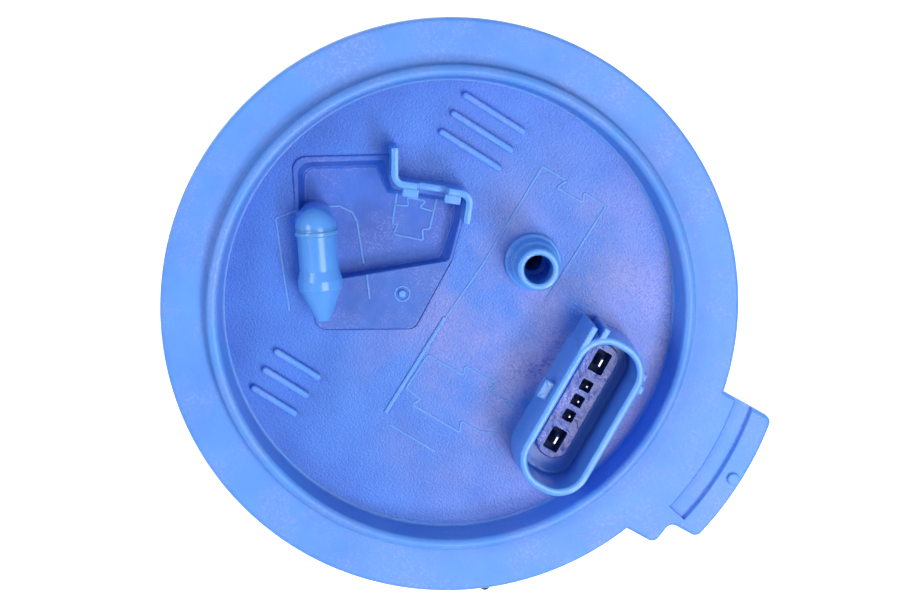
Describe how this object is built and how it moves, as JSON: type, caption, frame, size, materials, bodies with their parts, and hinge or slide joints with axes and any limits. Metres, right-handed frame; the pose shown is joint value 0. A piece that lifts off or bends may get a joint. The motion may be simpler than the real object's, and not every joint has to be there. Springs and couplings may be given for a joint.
{
  "type": "fuel pump module",
  "caption": "In-tank fuel pump module: moulded tank flange with feed port and electrical socket over a sprung reservoir with pump, regulator and float level sender.",
  "frame": {"origin": "centre of the flange face that seats on the tank, on the flange axis", "axes": "+Z points out of the tank, +X points at the alignment tab, +Y lies along the electrical socket"},
  "size_m": [0.1426, 0.1433, 0.1725],
  "materials": {
    "blue_acetal": "moulded, semi-gloss",
    "seal_rubber": "moulded, matte",
    "tinned_brass": "tin plated",
    "rod_steel": "ground",
    "spring_steel": "drawn wire",
    "black_nylon": "corrugated, satin",
    "stainless_band": "rolled",
    "natural_acetal": "moulded, satin",
    "valve_rubber": "moulded, matte",
    "black_acetal": "moulded, satin",
    "plated_steel": "drawn and zinc plated",
    "grey_resin": "glass filled, matte",
    "ferrite": "sintered, matte",
    "carbon": "pressed graphite",
    "white_acetal": "moulded, satin",
    "strainer_cloth": "woven mesh",
    "drawn_steel": "drawn and passivated",
    "card_ceramic": "printed thick film",
    "brown_phenolic": "moulded, matte",
    "lamination_steel": "stamped",
    "enamelled_copper": "enamelled wire",
    "contact_alloy": "rolled strip",
    "arm_wire": "drawn wire",
    "float_foam": "closed cell foam"
  },
  "bodies": {
    "tank_flange": {"flange": "blue_acetal", "flange_seal": "seal_rubber", "power_terminals": "tinned_brass", "signal_terminals": "tinned_brass", "guide_rod_far": "rod_steel", "guide_rod_near": "rod_steel", "rod_retaining_rings": "spring_steel", "spring_far": "spring_steel", "spring_near": "spring_steel", "fuel_hose": "black_nylon", "hose_clamp_upper": "stainless_band"},
    "reservoir_unit": {"reservoir": "natural_acetal", "fill_valve": "valve_rubber", "reservoir_lid": "black_acetal", "pump_case": "plated_steel", "pump_inlet_cover": "grey_resin", "pump_chamber_plate": "grey_resin", "motor_magnets": "ferrite", "carbon_brushes": "carbon", "brush_springs": "spring_steel", "pump_outlet_end": "grey_resin", "pump_terminals": "tinned_brass", "check_valve_stop": "grey_resin", "check_valve_spring": "spring_steel", "pump_isolator_sleeve": "valve_rubber", "pump_isolator_cup": "valve_rubber", "strainer_frame": "white_acetal", "strainer_mesh": "strainer_cloth", "pressure_regulator": "drawn_steel", "pump_outlet_seal": "seal_rubber", "hose_clamp_lower": "stainless_band", "sender_housing": "white_acetal", "resistor_card": "card_ceramic"},
    "pump_rotor": {"impeller": "brown_phenolic", "motor_shaft": "rod_steel", "armature_core": "lamination_steel", "armature_windings": "enamelled_copper", "commutator": "carbon"},
    "outlet_valve": {"check_valve_plunger": "white_acetal"},
    "sender_arm": {"wiper_lever": "white_acetal", "wiper_contacts": "contact_alloy", "float_arm": "arm_wire", "float_retainer": "spring_steel"},
    "arm_float": {"float": "float_foam"}
  },
  "joints": [
    {"name": "reservoir_slide", "type": "slide", "parent": "tank_flange", "child": "reservoir_unit", "axis": [0, 0, 1], "range_m": [0, 0.03], "stiffness_N_per_m": 400, "springref_m": -0.06, "deforming": ["spring_far", "spring_near", "fuel_hose"]},
    {"name": "pump_rotor_spin", "type": "hinge", "parent": "reservoir_unit", "child": "pump_rotor", "pos_m": [-0.002, -0.002, -0.11], "axis": [0, 0, 1], "continuous": true},
    {"name": "outlet_valve_lift", "type": "slide", "parent": "reservoir_unit", "child": "outlet_valve", "axis": [0, 0, 1], "range_m": [0, 0.0015], "stiffness_N_per_m": 100, "springref_m": -0.003, "deforming": ["check_valve_spring"]},
    {"name": "float_arm_swing", "type": "hinge", "parent": "reservoir_unit", "child": "sender_arm", "pos_m": [0.05, 0, -0.094], "axis": [-1, 0, 0], "range_deg": [0, 70]},
    {"name": "float_swivel", "type": "hinge", "parent": "sender_arm", "child": "arm_float", "pos_m": [0.06, -0.06128, -0.14542], "axis": [1, 0, 0], "range_deg": [-30, 30]}
  ]
}
